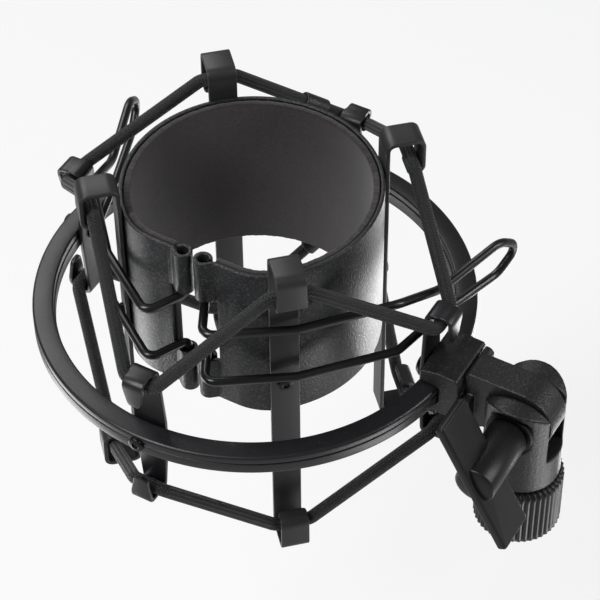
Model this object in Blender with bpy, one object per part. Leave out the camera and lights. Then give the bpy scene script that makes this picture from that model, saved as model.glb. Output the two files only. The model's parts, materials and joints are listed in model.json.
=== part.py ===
"""Elastic shock mount for a side-address studio microphone, with its stand swivel.

Frame: origin on the axis of the stand thread, in the bottom face of the knurled collar, +Z up.
The cradle hangs off the swivel in direction SWIVEL_AZ + 180 degrees. Units are metres and degrees.
"""

from math import atan2, cos, pi, radians, sin, sqrt, tan

import bmesh
import bpy
from mathutils import Matrix, Vector

# Clearances
GAP = 0.0002              # between pieces that touch
PIN_GAP = 0.0003          # round a wire or a screw in its hole

# Layout, seen from above: angle of the first piece of each set of four, and of the split
HOOKS = 4                 # straps on the sleeve, and posts on the ring
STRAP_AZ = -77.0
POST_AZ = -30.0
SPLIT_AZ = -120.0
SWIVEL_AZ = -30.0

# Outer ring, its top face at cradle z = 0
RING_R = 0.050
RING_WIDTH = 0.0051
RING_HEIGHT = 0.0050
RING_SIDES = 72

# Posts: sheet strips riveted inside the ring, with a hook at each end
POST_BASE = 0.0080        # width at the ring
POST_NECK = 0.0055        # width at the hooks
POST_SHEET = 0.0010
POST_RISE = 0.0187        # ring's middle to the hook's middle line
POST_HOOK_REACH = 0.0056
POST_TONGUE = 0.0072
TONGUE_TIP = 0.0032       # width of a post's tongue at its end

# Split sleeve, its felt and its straps
SLEEVE_R = 0.0287
SLEEVE_SHEET = 0.0009
SLEEVE_TOP = 0.0322
SLEEVE_HEIGHT = 0.0416
FLAT_DEPTH = 0.0038       # of the flat beside the split, in from the round
FLAT_BLEND_R = 0.014
FELT = 0.0015
STRAP_WIDTH = 0.0065
STRAP_SHEET = 0.0010
STRAP_TOP = 0.0390        # middle line of the top hooks
STRAP_BOTTOM = -0.0470
STRAP_HOOK_REACH = 0.0080
STRAP_TONGUE = 0.0085
STRAP_LIP = 0.0034        # how far the tongue turns back in under the cord
RIVET_R = 0.0011
RIVET_HEAD_R = 0.0018
RIVET_HEAD = 0.0008

# Rolled knuckles beside the split, and the wire handles that hook into them
KNUCKLE_R = 0.0021
KNUCKLE_OFFSET = 0.00245  # from the split's middle plane
KNUCKLE_TOP = 0.0114      # height of the top knuckle
KNUCKLE_BOTTOM = 0.0120   # height of the bottom knuckle
NOTCH_WIDTH = 0.0058      # from the split's middle plane
WIRE_R = 0.0010
WIRE_BEND = 0.0016
WIRE_REACH = 0.0100       # of each end inside its knuckle
WIRE_DROP = 2.0           # wire's middle below the cord's where they cross, in sums of their radii

# Elastic cords
CORD_R = 0.0015
CORD_ROOM = 0.0004        # from a hook's face to the cord
CORD_BEND = 0.0008        # from a hook's edge to the bend in the cord
CRIMP_R = 0.0024
CRIMP_LENGTH = 0.0070

# Swivel: bracket and arm on the ring, post with two cheeks, thumbscrew
ARM_REACH = 0.0175        # ring's outer face to the stand's axis
PIVOT_DROP = 0.0035       # ring's top face to the pivot
PIVOT_HEIGHT = 0.0348     # collar's bottom face to the pivot
BRACKET_WIDTH = 0.0138
BRACKET_WALL = 0.0023     # under the ring
BRACKET_TOP = 0.0045      # its ridge above the ring's top face
BRACKET_OUT = 0.0042
ARM_WIDTH = 0.0074
ARM_EYE_R = 0.0080
ARM_ROOT = 0.0125         # width where the arm meets the bracket
SHOULDER_GAP = 0.0106     # pivot to the arm's wide root
BOSS_HALF = 0.0066        # the boss's far face from the arm's middle plane
POST_R = 0.0088
CHEEK_RISE = 0.0068       # height of the cheeks above the pivot
SLOT_DEPTH = 0.0095
SCREW_R = 0.0030
WASHER_R = 0.0053
WASHER = 0.0010
NUT_R = 0.0056
NUT = 0.0028
SPOT_DEPTH = 0.0016
HUB_R = 0.0046
HUB_LENGTH = 0.0168
WING_LENGTH = 0.0340
WING_PAST = 0.0010        # of the wing beyond the hub's end
WING_WIDTH = 0.0105
WING_SHEET = 0.0022
WING_ANGLE = 61.0         # of the wing below level

# Collar with the stand thread
COLLAR_R = 0.00985
COLLAR_HEIGHT = 0.0160
COLLAR_ROOF = 0.0034
KNURLS = 44
KNURL_DEPTH = 0.0004
THREAD_R = 0.0079         # 5/8 inch stand thread
NECK_R = 0.0060
CLIP = 0.0010

PIVOT_REACH = RING_R + ARM_REACH
RING_MID = -RING_HEIGHT / 2
RING_INNER_R = RING_R - RING_WIDTH
SLEEVE_BOTTOM = SLEEVE_TOP - SLEEVE_HEIGHT
RING_FACET_R = RING_INNER_R * cos(pi / RING_SIDES)
POST_LINE = sqrt((RING_FACET_R - GAP) ** 2 - (POST_BASE / 2) ** 2) - POST_SHEET / 2
STRAP_LINE = SLEEVE_R + GAP + STRAP_SHEET / 2
FLAT_DIST = SLEEVE_R - FLAT_DEPTH
KNUCKLE_U = FLAT_DIST - SLEEVE_SHEET / 2
RIVET_Z = 0.0005


# Helpers

def clear_scene():
    for thing in list(bpy.data.objects):
        bpy.data.objects.remove(thing, do_unlink=True)


def paint(name, colour, roughness, metallic):
    """A Principled material in one colour."""
    stuff = bpy.data.materials.new(name)
    stuff.use_nodes = True
    shader = stuff.node_tree.nodes["Principled BSDF"]
    shader.inputs["Base Color"].default_value = (*colour, 1.0)
    shader.inputs["Roughness"].default_value = roughness
    shader.inputs["Metallic"].default_value = metallic
    return stuff


def empty(name, location, parent=None, turn=0.0):
    """A frame that pieces are placed in, turned about Z by turn degrees."""
    frame = bpy.data.objects.new(name, None)
    frame.location = location
    frame.rotation_euler = (0.0, 0.0, radians(turn))
    frame.parent = parent
    bpy.context.collection.objects.link(frame)
    return frame


def finish_mesh(name, shape):
    """A mesh from a bmesh, with its faces pointing out and its edges shaded by angle."""
    bmesh.ops.recalc_face_normals(shape, faces=shape.faces)
    mesh = bpy.data.meshes.new(name)
    shape.to_mesh(mesh)
    shape.free()
    mesh.shade_smooth()
    mesh.set_sharp_from_angle(angle=radians(35))
    return mesh


def put(name, data, stuff, parent, location=(0.0, 0.0, 0.0), turn=0.0):
    """An object of its own for one piece."""
    piece = bpy.data.objects.new(name, data)
    piece.location = location
    piece.rotation_euler = (0.0, 0.0, radians(turn))
    piece.parent = parent
    bpy.context.collection.objects.link(piece)
    if stuff and not data.materials:
        data.materials.append(stuff)
    return piece


def cut(piece, name, mesh, parent, turn=0.0, operation="DIFFERENCE"):
    """Cuts piece with a hidden solid, or joins that solid to it."""
    tool = put(name, mesh, None, parent, turn=turn)
    tool.hide_render = True
    tool.display_type = "WIRE"
    step = piece.modifiers.new(name, "BOOLEAN")
    step.operation = operation
    step.solver = "EXACT"
    step.object = tool


def turned(name, profile, sides, place=Matrix.Identity(4), solid=True):
    """Turns (radius, height) points about Z. A solid has flat ends, any other closes into a ring."""
    shape = bmesh.new()
    spots = [2 * pi * i / sides for i in range(sides)]
    loops = [[shape.verts.new((radius * cos(a), radius * sin(a), height)) for a in spots]
             for radius, height in profile]
    pairs = list(zip(loops, loops[1:]))
    if solid:
        shape.faces.new(loops[0])
        shape.faces.new(loops[-1])
    else:
        pairs.append((loops[-1], loops[0]))
    for low, high in pairs:
        for i in range(sides):
            j = (i + 1) % sides
            shape.faces.new((low[i], low[j], high[j], high[i]))
    shape.transform(place)
    return finish_mesh(name, shape)


def prism(name, outline, low, high, place=Matrix.Identity(4)):
    """Extrudes a plan outline of (x, y) points from low to high along Z."""
    shape = bmesh.new()
    floor = [shape.verts.new((x, y, low)) for x, y in outline]
    roof = [shape.verts.new((x, y, high)) for x, y in outline]
    shape.faces.new(floor)
    shape.faces.new(roof)
    for i in range(len(outline)):
        j = (i + 1) % len(outline)
        shape.faces.new((floor[i], floor[j], roof[j], roof[i]))
    shape.transform(place)
    return finish_mesh(name, shape)


def box(name, low, high):
    outline = [(low[0], low[1]), (high[0], low[1]), (high[0], high[1]), (low[0], high[1])]
    return prism(name, outline, low[2], high[2])


def arc(centre, radius, start, end, steps):
    """Points on an arc in a plane, from the start angle to the end angle in radians."""
    turn = [start + (end - start) * i / steps for i in range(steps + 1)]
    return [(centre[0] + radius * cos(a), centre[1] + radius * sin(a)) for a in turn]


def rounded(points, radius, steps, closed=False):
    """The path through points, with every corner replaced by an arc of about radius."""
    path = []
    count = len(points)
    for i, corner in enumerate(points):
        if not closed and i in (0, count - 1):
            path.append(corner.copy())
            continue
        before = points[i - 1] - corner
        after = points[(i + 1) % count] - corner
        opening = before.angle(after)
        reach = min(radius / tan(opening / 2), 0.45 * before.length, 0.45 * after.length)
        bow = reach * tan(opening / 2)
        axis = (before.normalized() + after.normalized()).normalized()
        centre = corner + axis * (reach / cos(opening / 2))
        start = corner + before.normalized() * reach - centre
        end = corner + after.normalized() * reach - centre
        sweep = start.angle(end)
        for k in range(steps + 1):
            share = k / steps
            spoke = start * sin((1 - share) * sweep) + end * sin(share * sweep)
            path.append(centre + spoke.normalized() * bow)
    return path


def strip(name, path, width_at, sheet):
    """A flat strip of sheet that follows a path in the XZ plane, as wide along Y as width_at says."""
    shape = bmesh.new()
    rows = []
    for i, point in enumerate(path):
        ahead = path[min(i + 1, len(path) - 1)] - point
        behind = point - path[max(i - 1, 0)]
        first = (behind if behind.length else ahead).normalized()
        second = (ahead if ahead.length else behind).normalized()
        along = (first + second).normalized()
        side = Vector((along.z, 0.0, -along.x)) * (sheet / 2 / max(along.dot(first), 0.5))
        half = Vector((0.0, width_at(i, point) / 2, 0.0))
        rows.append([shape.verts.new(point + s * side + t * half)
                     for s, t in ((1, -1), (1, 1), (-1, 1), (-1, -1))])
    for low, high in zip(rows, rows[1:]):
        for i in range(4):
            j = (i + 1) % 4
            shape.faces.new((low[i], low[j], high[j], high[i]))
    shape.faces.new(rows[0])
    shape.faces.new(rows[-1])
    return finish_mesh(name, shape)


def tube(name, path, radius, closed=False):
    """A round bar or cord along a path, as a curve with filled ends."""
    curve = bpy.data.curves.new(name, "CURVE")
    curve.dimensions = "3D"
    curve.bevel_depth = radius
    curve.bevel_resolution = 2
    curve.resolution_u = 1
    curve.render_resolution_u = 0
    curve.use_fill_caps = True
    spline = curve.splines.new("POLY")
    spline.points.add(len(path) - 1)
    spline.use_cyclic_u = closed
    for spot, point in zip(spline.points, path):
        spot.co = (*point, 1.0)
    return curve


def around(degrees, out, along, height):
    """A point given by its distance out from the cradle's axis and its offset along the tangent."""
    a = radians(degrees)
    return Vector((out * cos(a) - along * sin(a), out * sin(a) + along * cos(a), height))


# Ring and posts

def ring_profile(grow):
    """Section of the ring: rounded shoulders, and a groove round the outside. grow widens it."""
    inner, outer = RING_INNER_R - grow, RING_R + grow
    top, bottom = grow, -RING_HEIGHT - grow
    points = [(inner + 0.0005, top), (outer - 0.0008, top), (outer - 0.0002, top - 0.0003),
              (outer, top - 0.0009)]
    if grow == 0.0:
        points += [(outer, -0.0016), (outer - 0.0004, -0.0018), (outer - 0.0004, -0.0022),
                   (outer, -0.0024)]
    points += [(outer, bottom + 0.0009), (outer - 0.0003, bottom + 0.0003),
               (outer - 0.0009, bottom), (inner + 0.0005, bottom),
               (inner, bottom + 0.0005), (inner, top - 0.0005)]
    return points


def radial_pin(name, start, end, radius, head_in=0.0, head_out=0.0, head_r=RIVET_HEAD_R, sides=16):
    """A pin along +X between two radii, with domed heads beyond its ends where they are given."""
    profile = [(radius, start), (radius, end)]
    if head_in:
        profile = [(0.7 * head_r, start - head_in), (head_r, start - 0.4 * head_in),
                   (head_r, start)] + profile
    if head_out:
        profile += [(head_r, end), (head_r, end + 0.4 * head_out), (0.7 * head_r, end + head_out)]
    return turned(name, profile, sides, Matrix.Rotation(pi / 2, 4, "Y"))


def raise_mesh(mesh, height):
    mesh.transform(Matrix.Translation((0.0, 0.0, height)))
    return mesh


def build_ring(cradle):
    ring = put("outer_ring", turned("outer_ring", ring_profile(0.0), RING_SIDES, solid=False),
               paint("ring_paint", (0.03, 0.03, 0.032), 0.4, 0.3), cradle)
    for k in range(HOOKS):
        hole = radial_pin("ring_hole", RING_INNER_R - 0.003, RING_R + 0.003, RIVET_R + PIN_GAP)
        cut(ring, f"ring_hole_{k + 1}", raise_mesh(hole, RING_MID), cradle, POST_AZ + 90.0 * k)


def post_path():
    """Middle line of a post in its radial plane, from its upper tongue's end to its lower one's."""
    out = POST_LINE + POST_HOOK_REACH
    upper = [Vector((out - 0.0003, 0.0, RING_MID + POST_RISE - POST_TONGUE)),
             Vector((out, 0.0, RING_MID + POST_RISE)),
             Vector((POST_LINE, 0.0, RING_MID + POST_RISE))]
    lower = [Vector((p.x, 0.0, 2 * RING_MID - p.z)) for p in reversed(upper)]
    path = rounded(upper + lower, 0.0014, 4)
    shorten = path[1] + (path[0] - path[1]) * 0.7
    path.insert(1, shorten)
    path.insert(-1, Vector((shorten.x, 0.0, 2 * RING_MID - shorten.z)))
    middle = len(path) // 2
    flare = [Vector((POST_LINE, 0.0, RING_MID + s * 0.0030)) for s in (1, -1)]
    return path[:middle] + flare + path[middle:]


def post_width(path):
    def width_at(i, point):
        if i in (0, len(path) - 1):
            return TONGUE_TIP
        rise = abs(point.z - RING_MID)
        if point.x > POST_LINE + 0.0001 or rise < 0.0035:
            return POST_BASE if rise < 0.0035 else POST_NECK - 0.0004
        return POST_BASE + (POST_NECK - POST_BASE) * rise / POST_RISE
    return width_at


def build_posts(cradle):
    path = post_path()
    for k in range(HOOKS):
        angle = POST_AZ + 90.0 * k
        post = put(f"ring_post_{k + 1}", strip("ring_post", path, post_width(path), POST_SHEET),
                   paint(f"post_paint_{k + 1}", (0.03, 0.03, 0.032), 0.42, 0.3), cradle, turn=angle)
        hole = radial_pin("post_hole", POST_LINE - 0.003, POST_LINE + 0.002, RIVET_R + PIN_GAP)
        cut(post, f"post_hole_{k + 1}", raise_mesh(hole, RING_MID), cradle, angle)
        start = POST_LINE - POST_SHEET / 2 - GAP
        if k == 0:
            screw = radial_pin("bracket_screw", start, RING_R + BRACKET_OUT - 0.0012, RIVET_R,
                               head_in=0.0016, head_r=0.0026)
            put("bracket_screw", raise_mesh(screw, RING_MID),
                paint("bracket_screw_steel", (0.05, 0.05, 0.05), 0.35, 0.9), cradle, turn=angle)
        else:
            rivet = radial_pin("post_rivet", start, RING_R + GAP, RIVET_R,
                               head_in=RIVET_HEAD, head_out=RIVET_HEAD)
            put(f"post_rivet_{k}", raise_mesh(rivet, RING_MID),
                paint(f"post_rivet_steel_{k}", (0.05, 0.05, 0.05), 0.35, 0.9), cradle, turn=angle)


# Sleeve, felt, straps

def side_line(inset, end):
    """Plan points of one side of the sleeve, from the split round to the far side. inset is the
    distance in from the sleeve's outer face, end is where the flat stops beside the split."""
    radius, flat, blend = SLEEVE_R - inset, FLAT_DIST - inset, FLAT_BLEND_R - inset
    centre_u = flat - blend
    centre_v = sqrt((SLEEVE_R - FLAT_BLEND_R) ** 2 - centre_u ** 2)
    meet = atan2(centre_v, centre_u)
    points = [(flat, end)]
    points += arc((centre_u, centre_v), blend, 0.0, meet, 6)
    points += arc((0.0, 0.0), radius, meet, pi, 26)[1:]
    return points


def split_outline(outer, inner, end):
    """Closed plan outline of a split tube whose wall runs from the outer to the inner inset."""
    def both(inset):
        half = side_line(inset, end)
        return half + [(u, -v) for u, v in reversed(half[:-1])]
    return both(outer) + list(reversed(both(inner)))


def build_sleeve(sleeve):
    shell = put("sleeve_shell",
                prism("sleeve_shell", split_outline(0.0, SLEEVE_SHEET, KNUCKLE_OFFSET + 0.0017),
                      SLEEVE_BOTTOM, SLEEVE_TOP),
                paint("sleeve_paint", (0.035, 0.035, 0.037), 0.35, 0.4), sleeve)
    notch_low = SLEEVE_BOTTOM + KNUCKLE_BOTTOM
    notch_high = SLEEVE_TOP - KNUCKLE_TOP
    for side, sign in (("right", 1), ("left", -1)):
        for level, low, high in (("top", notch_high, SLEEVE_TOP), ("bottom", SLEEVE_BOTTOM, notch_low)):
            barrel = prism("knuckle", arc((KNUCKLE_U, sign * KNUCKLE_OFFSET), KNUCKLE_R,
                                          0.0, 2 * pi * 19 / 20, 19), low, high)
            cut(shell, f"knuckle_{level}_{side}", barrel, sleeve, SPLIT_AZ, "UNION")
    for side, sign in (("right", 1), ("left", -1)):
        bore = prism("knuckle_bore", arc((KNUCKLE_U, sign * KNUCKLE_OFFSET), WIRE_R + PIN_GAP,
                                         0.0, 2 * pi * 15 / 16, 15), SLEEVE_BOTTOM - 0.001, SLEEVE_TOP + 0.001)
        cut(shell, f"knuckle_bore_{side}", bore, sleeve, SPLIT_AZ)
    notch = box("split_notch", (KNUCKLE_U - 0.004, -NOTCH_WIDTH, notch_low),
                (KNUCKLE_U + 0.004, NOTCH_WIDTH, notch_high))
    cut(shell, "split_notch", notch, sleeve, SPLIT_AZ)
    shell.data.transform(Matrix.Rotation(radians(SPLIT_AZ), 4, "Z"))
    felt_end = KNUCKLE_OFFSET + KNUCKLE_R + PIN_GAP
    face = SLEEVE_SHEET + GAP
    felt = prism("felt_lining", split_outline(face, face + FELT, felt_end),
                 SLEEVE_BOTTOM + GAP, SLEEVE_TOP - GAP)
    put("felt_lining", felt, paint("felt", (0.02, 0.018, 0.018), 1.0, 0.0), sleeve, turn=SPLIT_AZ)
    for k in range(HOOKS):
        hole = radial_pin("sleeve_hole", SLEEVE_R - 0.002, SLEEVE_R + 0.002, RIVET_R + PIN_GAP)
        cut(shell, f"sleeve_hole_{k + 1}", raise_mesh(hole, RIVET_Z), sleeve, STRAP_AZ + 90.0 * k)


def strap_path():
    """Middle line of a strap in its radial plane. Each hook ends in a lip turned in round the cord."""
    out = STRAP_LINE + STRAP_HOOK_REACH
    def hook(level, way):
        end = level + way * STRAP_TONGUE
        return [Vector((out - STRAP_LIP, 0.0, end + way * 0.0004)), Vector((out, 0.0, end)),
                Vector((out, 0.0, level)), Vector((STRAP_LINE, 0.0, level))]
    return rounded(hook(STRAP_TOP, -1) + list(reversed(hook(STRAP_BOTTOM, 1))), 0.0017, 4)


def build_straps(sleeve):
    path = strap_path()
    for k in range(HOOKS):
        angle = STRAP_AZ + 90.0 * k
        strap = put(f"strap_{k + 1}", strip("strap", path, lambda i, p: STRAP_WIDTH, STRAP_SHEET),
                    paint(f"strap_paint_{k + 1}", (0.04, 0.04, 0.042), 0.4, 0.3), sleeve, turn=angle)
        hole = radial_pin("strap_hole", STRAP_LINE - 0.002, STRAP_LINE + 0.002, RIVET_R + PIN_GAP)
        cut(strap, f"strap_hole_{k + 1}", raise_mesh(hole, RIVET_Z), sleeve, angle)
        rivet = radial_pin("strap_rivet", SLEEVE_R - SLEEVE_SHEET, STRAP_LINE + STRAP_SHEET / 2 + GAP,
                           RIVET_R, head_out=RIVET_HEAD)
        put(f"strap_rivet_{k + 1}", raise_mesh(rivet, RIVET_Z),
            paint(f"strap_rivet_steel_{k + 1}", (0.05, 0.05, 0.05), 0.35, 0.9), sleeve, turn=angle)


# Wire handles

def cord_heights(way):
    """Heights of a cord in its strap hooks and in its post hooks. way is 1 for the upper cord and
    -1 for the lower one."""
    hook_room = STRAP_SHEET / 2 + CORD_ROOM + CORD_R
    strap_end = STRAP_TOP if way > 0 else STRAP_BOTTOM
    return (strap_end - way * (STRAP_TONGUE - hook_room),
            RING_MID + way * (POST_RISE - POST_SHEET / 2 - GAP - CORD_R))


def handle_route():
    """Route of the right handle from the sleeve's axis, with +X towards the split: up out of one
    knuckle, round its strap, under the upper cord, out over the ring and back at the lower level.
    Both wire and cord slope where they cross, so the drop between them is more than their radii."""
    high = SLEEVE_TOP - KNUCKLE_TOP - 0.0016
    low = SLEEVE_BOTTOM + KNUCKLE_BOTTOM + 0.0020
    corners = cord_corners(*cord_heights(1))
    cord = Matrix.Rotation(radians(-SPLIT_AZ), 3, "Z") @ corners[3].lerp(corners[4], 0.25)
    under = cord.z - WIRE_DROP * (CORD_R + WIRE_R)
    over = under + 0.0025
    beside = around(46.75, SLEEVE_R + 0.0037, 0.0, 0.0)
    outside = around(117.32, RING_R + 0.00403, 0.0, 0.0)
    tip = around(121.80, RING_R + 0.00883, 0.0, 0.0)
    inside = (cord.x + 0.0131, cord.y - 0.0035)
    pin, elbow = (KNUCKLE_U, KNUCKLE_OFFSET), (KNUCKLE_U + 0.00895, 0.0070)
    spots = [(pin, high + WIRE_REACH), (pin, high), (elbow, high), (beside, high), (inside, high),
             (cord, under), (outside, over), (tip, (over + low + 0.0020) / 2), (outside, low + 0.0020),
             (cord, low + 0.0014), (inside, low), (beside, low), (elbow, low), (pin, low),
             (pin, low - WIRE_REACH)]
    return [Vector((spot[0], spot[1], height)) for spot, height in spots]


def build_handles(sleeve):
    bend = rounded(handle_route(), 0.0035, 4)
    tight = rounded(handle_route(), WIRE_BEND, 4)
    path = tight[:6] + bend[6:-6] + tight[-6:]
    for side, sign in (("right", 1), ("left", -1)):
        hinge = around(SPLIT_AZ, KNUCKLE_U, sign * KNUCKLE_OFFSET, 0.0)
        wire = [around(SPLIT_AZ, p.x, sign * p.y, p.z) - hinge for p in path]
        put(f"handle_{side}", tube(f"handle_{side}", wire, WIRE_R),
            paint(f"handle_coat_{side}", (0.015, 0.015, 0.016), 0.25, 0.0), sleeve, location=hinge)


# Elastic cords

def cord_corners(strap_height, post_height):
    """Where the cord bends: at both edges of each strap hook and of each post hook."""
    strap_out = STRAP_LINE + STRAP_HOOK_REACH - STRAP_SHEET / 2 - CORD_R - CORD_ROOM
    post_out = POST_LINE + POST_SHEET / 2 + CORD_ROOM + CORD_R + 0.0004
    strap_side = STRAP_WIDTH / 2 + CORD_BEND
    post_side = POST_NECK / 2 + CORD_BEND
    corners = []
    for k in range(HOOKS):
        for side in (-1, 1):
            corners.append(around(STRAP_AZ + 90.0 * k, strap_out, side * strap_side, strap_height))
        for side in (-1, 1):
            corners.append(around(POST_AZ + 90.0 * k, post_out, side * post_side, post_height))
    return corners


def build_cords(cradle):
    for level, way in (("upper", 1), ("lower", -1)):
        strap_height, post_height = cord_heights(way)
        corners = cord_corners(strap_height, post_height)
        path = rounded(corners, 0.0024, 3, closed=True)
        put(f"elastic_{level}", tube(f"elastic_{level}", path, CORD_R, closed=True),
            paint(f"elastic_{level}", (0.02, 0.02, 0.02), 0.9, 0.0), cradle)
        start, end = corners[8], corners[7]
        along = (start - end).normalized()
        middle = end + along * (CORD_R + 0.0035 + CRIMP_LENGTH / 2)
        ring = [(CORD_R + PIN_GAP, -CRIMP_LENGTH / 2), (CRIMP_R, -CRIMP_LENGTH / 2),
                (CRIMP_R, CRIMP_LENGTH / 2), (CORD_R + PIN_GAP, CRIMP_LENGTH / 2)]
        place = Matrix.Translation(middle) @ along.to_track_quat("Z", "Y").to_matrix().to_4x4()
        put(f"elastic_crimp_{level}", turned("crimp", ring, 16, place, solid=False),
            paint(f"crimp_{level}", (0.02, 0.02, 0.02), 0.6, 0.0), cradle)


# Swivel

def build_bracket(arm_frame):
    """Channel clamped on the ring. Built with +X along the swivel's direction from the ring's axis."""
    inner = POST_LINE + POST_SHEET / 2 + 0.0006
    outer = RING_R + BRACKET_OUT
    top, bottom = BRACKET_TOP, -RING_HEIGHT - BRACKET_WALL - 0.0006
    outline = [(inner, top - 0.0009), (inner + 0.0044, top), (outer - 0.0005, top - 0.0003),
               (outer, top - 0.0008), (outer, bottom + 0.0030)]
    outline += arc((outer - 0.003, bottom + 0.003), 0.003, 0.0, -pi / 2, 5)[1:]
    outline += [(inner, bottom)]
    stand_up = Matrix.Rotation(pi / 2, 4, "X")
    bracket = put("ring_bracket",
                  prism("ring_bracket", outline, -BRACKET_WIDTH / 2, BRACKET_WIDTH / 2, stand_up),
                  paint("bracket_paint", (0.035, 0.035, 0.037), 0.45, 0.2), arm_frame)
    channel = turned("ring_channel", ring_profile(PIN_GAP), RING_SIDES, solid=False)
    channel.transform(Matrix.Rotation(radians(-SWIVEL_AZ), 4, "Z"))
    cut(bracket, "ring_channel", channel, arm_frame)
    hole = radial_pin("bracket_hole", RING_R - 0.002, outer - 0.0008, RIVET_R + PIN_GAP)
    cut(bracket, "bracket_hole", raise_mesh(hole, RING_MID), arm_frame)


def build_arm(arm_frame):
    """Arm from the bracket to the pivot: a bar level with the top of its round eye, a wide root
    below it and a boss on the far side."""
    root = RING_R + BRACKET_OUT + GAP
    shoulder = PIVOT_REACH - SHOULDER_GAP
    top, low = ARM_EYE_R - PIVOT_DROP, -0.0100
    drop = atan2(low + PIVOT_DROP, -sqrt(ARM_EYE_R ** 2 - (low + PIVOT_DROP) ** 2))
    outline = [(root, -0.0115), (root, top - 0.0008), (root + 0.0008, top)]
    outline += arc((PIVOT_REACH, -PIVOT_DROP), ARM_EYE_R, pi / 2, drop, 24)
    outline += [(PIVOT_REACH - ARM_EYE_R - 0.0006, low - 0.0006), (root + 0.0020, -0.0135)]
    stand_up = Matrix.Rotation(pi / 2, 4, "X")
    arm = put("swivel_arm",
              prism("swivel_arm", outline, -ARM_WIDTH / 2, ARM_WIDTH / 2, stand_up),
              paint("arm_paint", (0.03, 0.03, 0.031), 0.5, 0.1), arm_frame)
    block = [(root, -0.0096), (root, -0.0015), (shoulder, -0.0015), (shoulder, -0.0080),
             (shoulder - 0.0014, -0.0096)]
    cut(arm, "arm_root", prism("arm_root", block, -ARM_ROOT / 2, ARM_ROOT / 2, stand_up),
        arm_frame, operation="UNION")
    boss = [(root, -0.0030), (root, top - 0.0009)]
    boss += arc((shoulder - 0.0019, top - 0.0025), 0.0016, pi / 2, 0.0, 5)
    boss += [(shoulder - 0.0003, -0.0030)]
    cut(arm, "arm_boss", prism("arm_boss", boss, -BOSS_HALF, 0.0, stand_up), arm_frame, operation="UNION")
    hole = turned("arm_hole", [(SCREW_R + PIN_GAP, -0.01), (SCREW_R + PIN_GAP, 0.01)], 24,
                  Matrix.Rotation(pi / 2, 4, "X"))
    hole.transform(Matrix.Translation((PIVOT_REACH, 0.0, -PIVOT_DROP)))
    cut(arm, "arm_hole", hole, arm_frame)


def cross_cylinder(name, radius, start, end, sides):
    """A cylinder along Y through the pivot, from one distance along Y to another."""
    mesh = turned(name, [(radius, -end), (radius, -start)], sides, Matrix.Rotation(pi / 2, 4, "X"))
    return raise_mesh(mesh, PIVOT_HEIGHT)


def build_post(stand):
    """Round post: neck for the collar below, two rounded cheeks with a slot between them above."""
    foot = COLLAR_HEIGHT + PIN_GAP
    under = COLLAR_HEIGHT - COLLAR_ROOF - PIN_GAP
    groove = NECK_R - 0.0010
    profile = [(NECK_R, under - 0.0030), (NECK_R, under - CLIP - 2 * GAP),
               (groove, under - CLIP - 2 * GAP), (groove, under), (NECK_R, under), (NECK_R, foot),
               (POST_R - 0.0006, foot), (POST_R, foot + 0.0006), (POST_R, PIVOT_HEIGHT + 0.012)]
    post = put("stand_post", turned("stand_post", profile, 40),
               paint("post_plastic", (0.03, 0.03, 0.031), 0.55, 0.0), stand)
    wide, tall = POST_R + 0.004, PIVOT_HEIGHT + 0.0157
    dome = [(x * (POST_R + 0.0003), PIVOT_HEIGHT + y * CHEEK_RISE)
            for x, y in arc((0.0, 0.0), 1.0, pi, 0.0, 20)]
    outline = [(-wide, PIVOT_HEIGHT)] + dome + [(wide, PIVOT_HEIGHT), (wide, tall), (-wide, tall)]
    stand_up = Matrix.Rotation(pi / 2, 4, "X")
    cut(post, "post_top", prism("post_top", outline, -wide, wide, stand_up), stand)
    slot = ARM_WIDTH / 2 + PIN_GAP
    cut(post, "post_slot", box("post_slot", (-wide, -slot, PIVOT_HEIGHT - SLOT_DEPTH), (wide, slot, tall)),
        stand)
    cut(post, "post_hole", cross_cylinder("post_hole", SCREW_R + PIN_GAP, -wide, wide, 24), stand)
    cut(post, "post_spot", cross_cylinder("post_spot", WASHER_R + 0.0005, -wide, SPOT_DEPTH - POST_R, 32), stand)
    cut(post, "nut_pocket", cross_cylinder("nut_pocket", NUT_R + PIN_GAP, POST_R - NUT - GAP, wide, 6), stand)


def build_screw(stand, pivot):
    """Thumbscrew, washer and nut on the pivot, which runs along Y."""
    seat = SPOT_DEPTH - POST_R - GAP
    washer_out = seat - WASHER
    washer = [(SCREW_R + PIN_GAP, 0.0), (WASHER_R, 0.0), (WASHER_R, WASHER), (SCREW_R + PIN_GAP, WASHER)]
    place = Matrix.Translation((0.0, seat, PIVOT_HEIGHT)) @ Matrix.Rotation(pi / 2, 4, "X")
    put("pivot_washer", turned("pivot_washer", washer, 32, place, solid=False),
        paint("washer_steel", (0.4, 0.4, 0.41), 0.3, 1.0), stand)
    hub_start = -(washer_out - GAP)
    hub_end = hub_start + HUB_LENGTH
    tip = -(POST_R - 0.0006)
    profile = [(SCREW_R, tip), (SCREW_R, hub_start), (HUB_R - 0.0003, hub_start),
               (HUB_R, hub_start + 0.0004), (HUB_R, hub_end - 0.0006), (HUB_R - 0.0006, hub_end)]
    screw = put("thumbscrew", turned("thumbscrew", profile, 28, Matrix.Rotation(pi / 2, 4, "X")),
                paint("thumbscrew_plastic", (0.02, 0.02, 0.021), 0.45, 0.0), pivot)
    wing_end = -hub_end - WING_PAST
    wing = box("wing", (-WING_LENGTH / 2, wing_end, -WING_SHEET / 2),
               (WING_LENGTH / 2, wing_end + WING_WIDTH, WING_SHEET / 2))
    wing.transform(Matrix.Rotation(radians(WING_ANGLE), 4, "Y"))
    cut(screw, "wing", wing, pivot, operation="UNION")
    nut = put("pivot_nut", cross_cylinder("pivot_nut", NUT_R, POST_R - NUT, POST_R, 6),
              paint("nut_steel", (0.45, 0.45, 0.46), 0.3, 1.0), stand)
    cut(nut, "nut_bore", cross_cylinder("nut_bore", SCREW_R + PIN_GAP, 0.0, POST_R + 0.001, 24), stand)


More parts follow.
